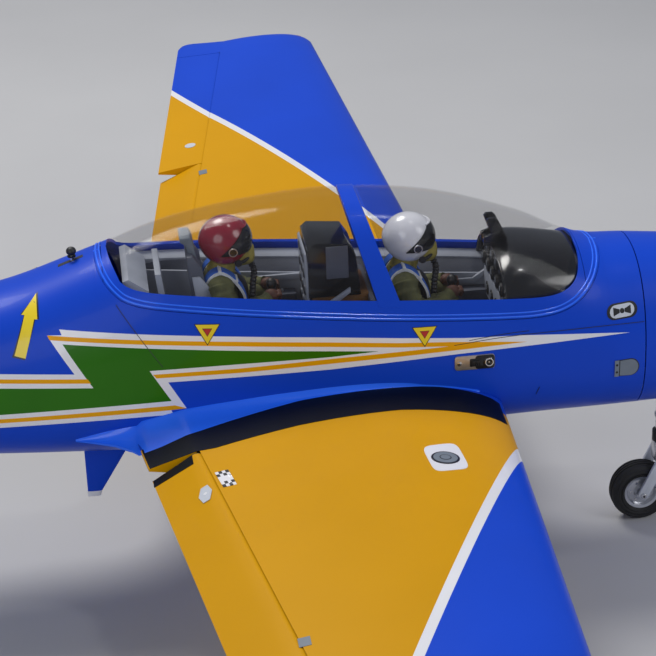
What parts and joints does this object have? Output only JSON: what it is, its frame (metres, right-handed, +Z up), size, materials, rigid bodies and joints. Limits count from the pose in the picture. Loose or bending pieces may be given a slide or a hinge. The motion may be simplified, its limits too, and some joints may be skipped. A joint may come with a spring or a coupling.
{
  "type": "radio-controlled trainer aircraft",
  "caption": "Large radio-controlled tandem-seat low-wing trainer with a bubble canopy hatch, propeller nose and tricycle undercarriage.",
  "frame": {"origin": "on the floor under the middle of the bounding box: midway between spinner tip and rudder trailing edge, on the centreline", "axes": "+X forward to the spinner, +Y to the aircraft's left wing, +Z up"},
  "size_m": [1.7947, 2.026, 0.6175],
  "materials": {
    "blue_film": "gloss",
    "blue_paint": "gloss",
    "yellow_film": "gloss",
    "canopy_glazing": "clear moulded acrylic",
    "plywood": "plain",
    "cockpit_grey": "matte",
    "seat_fabric": "woven",
    "flight_suit": "woven",
    "cockpit_black": "satin",
    "aluminium": "machined",
    "black_metal": "blackened",
    "exhaust_steel": "brushed",
    "carbon": "woven carbon",
    "tube": "anodised",
    "battery_wrap": "shrink-wrapped cells",
    "tyre_rubber": "matte rubber"
  },
  "bodies": {
    "airframe": {"fuselage_shell": "blue_film", "cowl": "blue_paint", "firewall": "plywood", "exhaust_left": "exhaust_steel", "exhaust_right": "exhaust_steel", "motor_stator": "aluminium", "equipment_tray": "plywood", "front_flight_battery": "battery_wrap", "rear_flight_battery": "battery_wrap", "receiver": "cockpit_black", "speed_controller": "battery_wrap", "tail_servos": "cockpit_black", "switch_plate": "aluminium", "left_wing": "yellow_film", "right_wing": "yellow_film", "wing_tube": "tube", "tailplane": "yellow_film", "fin": "blue_film", "ventral_antenna": "blue_film", "nose_gear_mount": "aluminium", "left_main_leg": "aluminium", "right_main_leg": "aluminium"},
    "propeller": {"motor_can": "black_metal", "propeller": "carbon", "spinner": "blue_paint"},
    "hatch": {"hatch_frame": "blue_paint", "rear_canopy_glass": "canopy_glazing", "front_canopy_glass": "canopy_glazing", "cockpit_tub": "cockpit_grey", "rear_seat": "seat_fabric", "rear_pilot": "flight_suit", "front_seat": "seat_fabric", "front_pilot": "flight_suit", "rear_instrument_hood": "cockpit_black", "front_coaming": "cockpit_black"},
    "latch": {"hatch_latch": "black_metal"},
    "power_switch": {"switch_slider": "cockpit_black"},
    "left_flap": {"left_flap": "yellow_film"},
    "right_flap": {"right_flap": "yellow_film"},
    "left_aileron": {"left_aileron": "yellow_film"},
    "right_aileron": {"right_aileron": "yellow_film"},
    "elevator": {"elevator": "yellow_film"},
    "rudder": {"rudder": "yellow_film"},
    "nose_leg": {"nose_leg": "aluminium"},
    "nose_arm": {"nose_arm": "aluminium"},
    "nose_wheel": {"nose_hub": "aluminium", "nose_tyre": "tyre_rubber"},
    "left_main_arm": {"left_main_arm": "aluminium"},
    "left_main_wheel": {"left_main_hub": "aluminium", "left_main_tyre": "tyre_rubber"},
    "right_main_arm": {"right_main_arm": "aluminium"},
    "right_main_wheel": {"right_main_hub": "aluminium", "right_main_tyre": "tyre_rubber"}
  },
  "joints": [
    {"name": "propeller_spin", "type": "hinge", "parent": "airframe", "child": "propeller", "pos_m": [0.823, 0, 0.2365], "axis": [1, 0, 0], "continuous": true},
    {"name": "hatch_lift", "type": "slide", "parent": "airframe", "child": "hatch", "axis": [0, 0, 1], "range_m": [0, 0.15]},
    {"name": "latch_slide", "type": "slide", "parent": "airframe", "child": "latch", "axis": [-1, 0, 0], "range_m": [0, 0.008]},
    {"name": "power_switch_slide", "type": "slide", "parent": "airframe", "child": "power_switch", "axis": [-1, 0, 0], "range_m": [0, 0.004]},
    {"name": "left_flap_hinge", "type": "hinge", "parent": "airframe", "child": "left_flap", "pos_m": [0.0301, 0.166, 0.19866], "axis": [-0.1423, -0.988, -0.0607], "range_deg": [-15, 25]},
    {"name": "right_flap_hinge", "type": "hinge", "parent": "airframe", "child": "right_flap", "pos_m": [0.0301, -0.166, 0.19866], "axis": [0.1423, -0.988, 0.0607], "range_deg": [-15, 25]},
    {"name": "left_aileron_hinge", "type": "hinge", "parent": "airframe", "child": "left_aileron", "pos_m": [0.0877, 0.566, 0.22324], "axis": [-0.1423, -0.988, -0.0607], "range_deg": [-20, 20]},
    {"name": "right_aileron_hinge", "type": "hinge", "parent": "airframe", "child": "right_aileron", "pos_m": [0.0877, -0.566, 0.22324], "axis": [0.1423, -0.988, 0.0607], "range_deg": [-20, 20]},
    {"name": "elevator_hinge", "type": "hinge", "parent": "airframe", "child": "elevator", "pos_m": [-0.761, 0, 0.2735], "axis": [0, 1, 0], "range_deg": [-20, 20]},
    {"name": "rudder_hinge", "type": "hinge", "parent": "airframe", "child": "rudder", "pos_m": [-0.8096, 0, 0.2455], "axis": [-0.0499, 0, 0.9988], "range_deg": [-25, 25]},
    {"name": "nose_steering", "type": "hinge", "parent": "airframe", "child": "nose_leg", "pos_m": [0.528, 0, 0.1615], "axis": [0, 0, 1], "range_deg": [-25, 25]},
    {"name": "nose_suspension", "type": "hinge", "parent": "nose_leg", "child": "nose_arm", "pos_m": [0.528, 0, 0.0755], "axis": [0, 1, 0], "range_deg": [0, 14], "stiffness_Nm_per_rad": 3, "springref_deg": -14.32},
    {"name": "nose_wheel_spin", "type": "hinge", "parent": "nose_arm", "child": "nose_wheel", "pos_m": [0.507, 0, 0.03222], "axis": [0, 1, 0], "continuous": true},
    {"name": "left_main_suspension", "type": "hinge", "parent": "airframe", "child": "left_main_arm", "pos_m": [0.172, 0.306, 0.0815], "axis": [0, 1, 0], "range_deg": [0, 14], "stiffness_Nm_per_rad": 6, "springref_deg": -16.04},
    {"name": "left_main_wheel_spin", "type": "hinge", "parent": "left_main_arm", "child": "left_main_wheel", "pos_m": [0.15, 0.342, 0.05037], "axis": [0, 1, 0], "continuous": true},
    {"name": "right_main_suspension", "type": "hinge", "parent": "airframe", "child": "right_main_arm", "pos_m": [0.172, -0.306, 0.0815], "axis": [0, 1, 0], "range_deg": [0, 14], "stiffness_Nm_per_rad": 6, "springref_deg": -16.04},
    {"name": "right_main_wheel_spin", "type": "hinge", "parent": "right_main_arm", "child": "right_main_wheel", "pos_m": [0.15, -0.342, 0.05037], "axis": [0, 1, 0], "continuous": true}
  ],
  "couplings": [
    {"joint": "right_flap_hinge", "follows": "left_flap_hinge", "ratio": 1},
    {"joint": "right_aileron_hinge", "follows": "left_aileron_hinge", "ratio": -1},
    {"joint": "nose_steering", "follows": "rudder_hinge", "ratio": -1}
  ]
}
